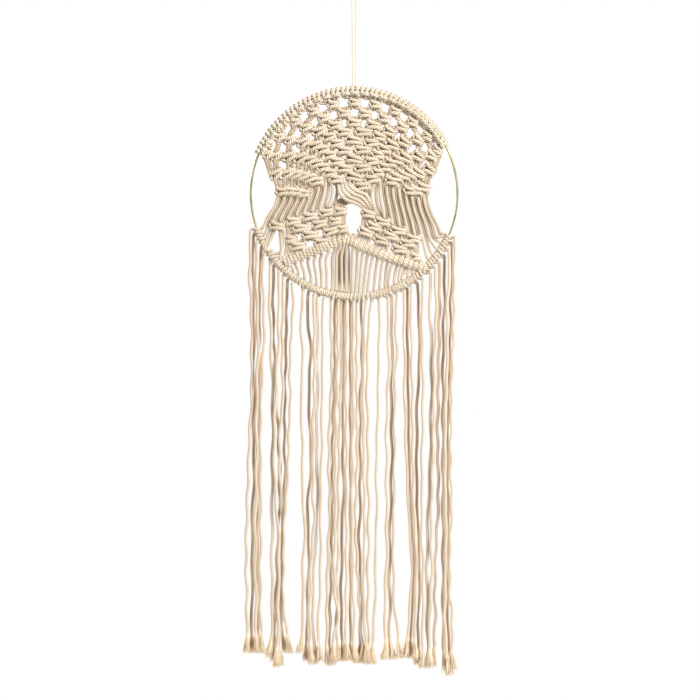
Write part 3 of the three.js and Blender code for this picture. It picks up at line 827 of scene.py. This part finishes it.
def wrapped(points, angle):
    """Points given along, in front of and out from the wire, as points on the hoop."""
    placed = []
    for along, depth, outward in points:
        x, z = on_hoop(angle - math.degrees(along / HOOP_RADIUS), HOOP_RADIUS + outward)
        placed.append((x, depth, z))
    return placed


def start_at_heads():
    strand = 0
    for head in range(HEADS):
        angle = HEADS_FROM - HEAD_PITCH * (head + 0.5)
        piece = "lark_heads_left" if angle > 90 else "lark_heads_right"
        for side in (-1, 1):
            points = wrapped([(side * x, y, z) for x, y, z in LARK_HEAD], angle)
            if 2 * head + (side > 0) in LEFT_OUT:
                place = 2 + 4 * round((strand - 2) / 4)
                x, z = net_column(place, HIDDEN_SHARE)
                spare.append([(point, piece) for point in [*points, (x, HIDDEN_DEPTH, z)]])
            else:
                go(strand, piece, points)
                strand += 1


spare = []  # the ways of cords that don't end in the fringe
start_at_heads()

# ---------------------------------------------------------------- the net

OPEN_ROWS = 2
WIDEST = {1: 0.8, 2: 0.88, 3: 1.05}  # the first rows' widest knots, of the width as drawn
WIDEST_DENSE = 1.5  # and the other rows'
STEEP_STRETCH = 0.34  # of the dense rows' knots


def tie_net():
    for number, depth in enumerate(NET_ROWS, 1):
        first = 0 if number % 2 else 2
        for group in range(first, STRANDS - 3, 4):
            column = np.linalg.norm(net_foot(group + 2) - net_column(group + 2, 0))
            if depth + NET_MARGIN < column:
                piece = "net_open_rows" if number <= OPEN_ROWS else "net_dense_rows"
                stretch = 0 if number <= OPEN_ROWS else STEEP_STRETCH
                tie(group, net_column, depth / column, piece, WIDEST.get(number, WIDEST_DENSE), stretch)


tie_net()

# ---------------------------------------------------------------- bare cords and the centre knot

CROSSED = range(MIDDLE - 4, MIDDLE + 4)
BULGE = {15: -1.0, 16: -2.4, 17: -4.0, 26: 4.0, 27: 2.6, 28: 1.2}  # cords that bow to the middle
BARE_DEPTH = 1.5  # of neighbours, behind and in front of the middle
BARE_BENDS = ((0.22, 0.3), (0.72, 0.7))  # shares of the way across and down, where a cord bends

# Way-points of the four cords in front and of the four behind, each with its step from one cord to
# the next.
FRONT_SWEEP = (
    ((-22.0, -3.0, 9.0), (5.0, 0.0, 1.2)),
    ((-20.5, -5.0, 0.0), (5.6, 0.0, 2.6)),
    ((-12.0, -6.0, -8.5), (5.6, 0.0, 3.8)),
    ((2.0, -4.5, -13.8), (5.2, 0.0, 3.6)),
)
BACK_SWEEP = (
    ((4.0, 1.0, -0.5), (6.3, 0.0, -0.5)),
    ((-8.5, 2.5, -4.5), (9.2, 0.0, -1.5)),
    ((-19.0, 3.0, -9.0), (9.0, 0.0, -1.2)),
    ((-25.0, 2.0, -13.0), (5.0, 0.0, 0.0)),
)


def hang_bare_cords():
    for strand in range(STRANDS):
        if strand in CROSSED:
            continue
        start, end = net_foot(strand + 0.5), chevron_top(strand + 0.5)
        depth = BARE_DEPTH if strand % 2 else -BARE_DEPTH
        piece = "bare_cords_left" if strand < MIDDLE else "bare_cords_right"
        bulge = np.array([-BULGE.get(strand, 0), 0])
        bends = [start + (end - start) * share + bulge for share in BARE_BENDS]
        go(strand, piece, [(x, depth, z) for x, z in (start, *bends, end)])


def cross_middle():
    """Four cords sweep across the front to the right, and four behind them to the left."""
    before = [ways[strand] for strand in CROSSED]
    half = len(before) // 2
    for i in range(half):
        for first, sweep in ((0, FRONT_SWEEP), (half, BACK_SWEEP)):
            before[first + i] += [(tuple(a + b * i for a, b in zip(point, step)), "centre_knot")
                                  for point, step in sweep]
    for i, strand in enumerate(CROSSED):
        ways[strand] = before[(i + half) % len(before)]


hang_bare_cords()
cross_middle()

# ---------------------------------------------------------------- the chevron

CHEVRON_ROWS = (8.0, 21.4, 34.8, 48.2, 61.6)
CHEVRON_MARGIN = 8.0  # left under a column's last knot
CHEVRON_WIDEST = 1.2
APEX_ROW = 4  # the first row with a knot under the shield-shaped hole
# Knots left out, by row and first strand, where long holes show.
SKIPPED = {(3, 2), (2, 4), (4, 4), (1, 38), (2, 36)}


def tie_chevron():
    for number, depth in enumerate(CHEVRON_ROWS, 1):
        first = 2 if number % 2 else 0
        for group in range(first, STRANDS - 3, 4):
            place = group + 2
            if place == MIDDLE and number < APEX_ROW:
                continue
            column = np.linalg.norm(chevron_foot(place) - chevron_top(place))
            if depth + CHEVRON_MARGIN < column and (number, group) not in SKIPPED:
                piece = "chevron_left" if place < MIDDLE else "chevron_right"
                tie(group, chevron_column, depth / column, piece, CHEVRON_WIDEST)


tie_chevron()

# The long holes in the chevron: middle, half width, half height and how far aside the cords move.
LONG_HOLES = [(-112.5, -71.5, 7.0, 17.5, 19.0), (102.5, -83.5, 6.5, 16.5, 17.0)]
NEAR_HOLE = 30.0  # how near a strand has to be to be drawn aside
PAST_MIDDLE = 4.0  # how far past the hole's middle its points may lie


def open_long_holes():
    """Draws the cords on both sides of each long hole aside, each to the side it already lies on."""
    for x0, z0, half_width, half_height, reach in LONG_HOLES:
        for way in ways:
            beside = [point for point, piece in way
                      if piece.startswith("chevron") and abs(point[0] - x0) < NEAR_HOLE]
            if not beside:
                continue
            level = min(beside, key=lambda point: abs(point[2] - z0))
            side = 1 if level[0] > x0 else -1
            for k, (point, piece) in enumerate(way):
                tall = 1 - ((point[2] - z0) / half_height) ** 2
                off = (point[0] - x0) * side
                if tall > 0 and -PAST_MIDDLE < off < reach:
                    moved = half_width * math.sqrt(tall)
                    moved += max(off, 0) * (reach - moved) / reach + CORD / 2 * (1 - max(off, 0) / reach)
                    way[k] = ((x0 + side * moved, point[1], point[2]), piece)


# Each cord is hitched twice round a carrier cord along the chevron's lower edge. Points are (along the
# edge, depth, up from it).
EDGE_HITCH = [
    (-2.6, -2.0, 6.5), (-2.6, -4.6, 2.4), (-2.4, -4.6, -1.8), (-1.6, -0.6, -4.6), (-0.8, 4.0, -2.0),
    (0.4, 4.0, 2.4), (1.8, 0.2, 4.8), (2.4, -4.2, 2.6), (2.6, -4.6, -1.8), (2.4, -1.6, -6.0),
]


def edge_direction(strand):
    step = chevron_foot(strand + 1) - chevron_foot(strand)
    return step / np.linalg.norm(step)


def hitch_edge():
    for strand in range(TIED_LEFT, TIED_RIGHT):
        if strand in CLOSE_BUNDLE and strand % 2:
            continue
        foot, along = chevron_foot(strand + 0.5), edge_direction(strand)
        up = np.array([-along[1], along[0]])
        piece = "chevron_left" if strand < MIDDLE else "chevron_right"
        go(strand, piece, flat_points(foot, along, up, EDGE_HITCH))


CARRIER_DEPTH = 5.5  # where a carrier cord starts, behind the knot
CARRIER_RISE = 12.0  # and above the edge
CARRIER_END = 1.5  # strands' spacings past the last hitch


def carry_edge():
    """The carrier cords start behind the knot under the hole and end at the hoop."""
    for piece, places in (("chevron_left", range(MIDDLE - 1, TIED_LEFT - 1, -1)),
                          ("chevron_right", range(MIDDLE, TIED_RIGHT))):
        line = [chevron_foot(place + 0.5) for place in places]
        end = line[-1] + (line[-1] - line[-2]) * CARRIER_END
        points = [(line[0][0], CARRIER_DEPTH, line[0][1] + CARRIER_RISE)]
        points += [(x, 0.0, z) for x, z in [*line, end]]
        spare.append([(point, piece) for point in points])


hitch_edge()
carry_edge()

# ---------------------------------------------------------------- drop cords and hitches

WRAP = 4.05  # from the wire's middle to the middle of a cord round it
WRAP_STEPS = 8  # points in a turn round the wire
LAST_TURN = WRAP_STEPS - 3  # points in the last turn, which leaves the wire downwards
APPROACH = 10.0  # inside the wire, where a drop cord ends
DROP_BENDS = (0.3, 0.75)  # shares of the way down
DROP_DEPTH = 1.0  # of neighbours, behind and in front of the middle
BUNDLE_DEPTHS = (-0.8, 4.4)  # of the close bundle's two layers


def hitch_to_hoop():
    for strand in range(STRANDS):
        side = "left" if strand < MIDDLE else "right"
        angle = HITCH_ANGLES[strand]
        before = HITCH_ANGLES[max(0, strand - 1)]
        after = HITCH_ANGLES[min(STRANDS - 1, strand + 1)]
        cell = math.radians(after - before) / 2 * HOOP_RADIUS
        passes = max(1, round(cell / CORD))
        pitch = cell / passes
        first_turn = -math.radians(after - angle) / 2 * HOOP_RADIUS + pitch / 2
        foot = chevron_foot(strand + 0.5)
        depths = BUNDLE_DEPTHS if strand in CLOSE_BUNDLE else (-DROP_DEPTH, DROP_DEPTH)
        depth = depths[strand % 2]
        start = on_hoop(angle - math.degrees(first_turn / HOOP_RADIUS), HOOP_RADIUS - APPROACH)
        if not is_tied(strand):
            top, near = [foot + (start - foot) * share for share in DROP_BENDS]
            go(strand, f"drop_cords_{side}", [(top[0], depth, top[1]), (near[0], depth - 0.6, near[1])])
        piece = f"hoop_hitches_{side}"
        turns = []
        for i in range(WRAP_STEPS * (passes - 1) + LAST_TURN):
            turn = 2 * math.pi * i / WRAP_STEPS
            along = first_turn + pitch * i / WRAP_STEPS
            turns.append((along, -WRAP * math.sin(turn), -WRAP * math.cos(turn)))
        go(strand, piece, wrapped([(first_turn, -2.0, -8.0)] + turns, angle))
        x, y = TOP_X[strand], LAYERS[strand] * LAYER_DEPTH
        z = -math.sqrt(FRINGE_RADIUS**2 - x**2)
        go(strand, piece, [(x, y, z)])


hitch_to_hoop()
open_long_holes()

# ---------------------------------------------------------------- the web's ropes

WEB_PIECES = [
    "lark_heads_left", "lark_heads_right", "net_open_rows", "net_dense_rows", "centre_knot",
    "bare_cords_left", "bare_cords_right", "chevron_left", "chevron_right", "drop_cords_left",
    "drop_cords_right", "hoop_hitches_left", "hoop_hitches_right",
]
KNOTTED_CORD = 5.7  # the cord swells where it bends round in a knot
SWELL_STEPS = 13  # over which its width changes


def lay_way(way, ropes):
    points = np.array([point for point, _ in way])
    keep = np.concatenate([[True], steps_along(points) > CLOSEST_POINTS])
    points, pieces = points[keep], [piece for (_, piece), kept in zip(way, keep) if kept]
    route = smooth_route(points, ROPE_STEP)
    nearest, labels = 0, []
    for place in route:
        while nearest + 1 < len(points) and (np.linalg.norm(points[nearest + 1] - place)
                                             < np.linalg.norm(points[nearest] - place)):
            nearest += 1
        labels.append(pieces[nearest])
    width = np.array([CORD if label.startswith(("bare", "drop", "hoop")) else KNOTTED_CORD
                      for label in labels])
    evenly = np.full(SWELL_STEPS, 1 / SWELL_STEPS)
    width = np.convolve(np.pad(width, SWELL_STEPS // 2, mode="edge"), evenly, mode="valid")
    lay_rope(route, CORD, LAY, labels, ropes, width / 2)


def build_web():
    ropes = {piece: Rope() for piece in WEB_PIECES}
    for way in ways + spare:
        lay_way(way, ropes)
    for name, rope in ropes.items():
        # Painted shade between the knots, and between cords that hang side by side.
        rope.paint_crevice_shade(BARE_SHADE if name.startswith(("bare", "drop")) else CREVICE_SHADE)
        # The web's cotton is a darker copy with painted shade.
        piece = rope.mesh(f"{name}_rope", WEB_PAINTED_SHADE_COTTON, "cotton_cord")
        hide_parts(name)
        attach(piece, "hoop")


build_web()

# ---------------------------------------------------------------- floor and light

FLOOR_DROP = 0.14  # below the lowest tip
FLOOR_RADIUS = 1.4
BACKDROP = 1.0  # the white behind the object, and the softer light that falls on it from all round
FILL = 0.44
FILL_COLOUR = (1, 0.96, 0.9, 1)
LAMP_COLOUR = (1, 0.97, 0.93)


def build_floor():
    material, nodes, _ = new_material("floor_white")
    shader = nodes["Principled BSDF"]
    shader.inputs["Base Color"].default_value = (0.9, 0.89, 0.87, 1)
    shader.inputs["Roughness"].default_value = 0.8
    bpy.ops.mesh.primitive_circle_add(vertices=96, radius=FLOOR_RADIUS, fill_type="NGON",
                                      location=(0, 0, cad_box[0][2] - FLOOR_DROP))
    floor = bpy.context.object
    floor.name = "floor"
    floor.data.materials.append(material)


def add_light(name, place, size, power):
    data = bpy.data.lights.new(name, "AREA")
    data.size, data.energy, data.color = size, power, LAMP_COLOUR
    light = bpy.data.objects.new(name, data)
    light.location = place
    light.rotation_euler = (Vector(VIEW_CENTRE) - Vector(place)).to_track_quat("-Z", "Y").to_euler()
    bpy.context.scene.collection.objects.link(light)


def light_up():
    world = bpy.data.worlds.new("studio")
    world.use_nodes = True
    nodes, links = world.node_tree.nodes, world.node_tree.links
    backdrop = nodes["Background"]
    backdrop.inputs["Color"].default_value = (1, 1, 1, 1)
    backdrop.inputs["Strength"].default_value = BACKDROP
    fill = nodes.new("ShaderNodeBackground")
    fill.inputs["Color"].default_value = FILL_COLOUR
    fill.inputs["Strength"].default_value = FILL
    seen = nodes.new("ShaderNodeLightPath")
    either = nodes.new("ShaderNodeMixShader")
    links.new(seen.outputs["Is Camera Ray"], either.inputs["Fac"])
    links.new(fill.outputs["Background"], either.inputs[1])
    links.new(backdrop.outputs["Background"], either.inputs[2])
    links.new(either.outputs["Shader"], nodes["World Output"].inputs["Surface"])
    bpy.context.scene.world = world
    add_light("key", (1.6, -2.0, 1.3), 0.6, 168)
    add_light("back", (-1.5, 2.3, 0.4), 0.9, 70)
    bpy.context.scene.view_settings.view_transform = "Standard"


build_floor()
light_up()
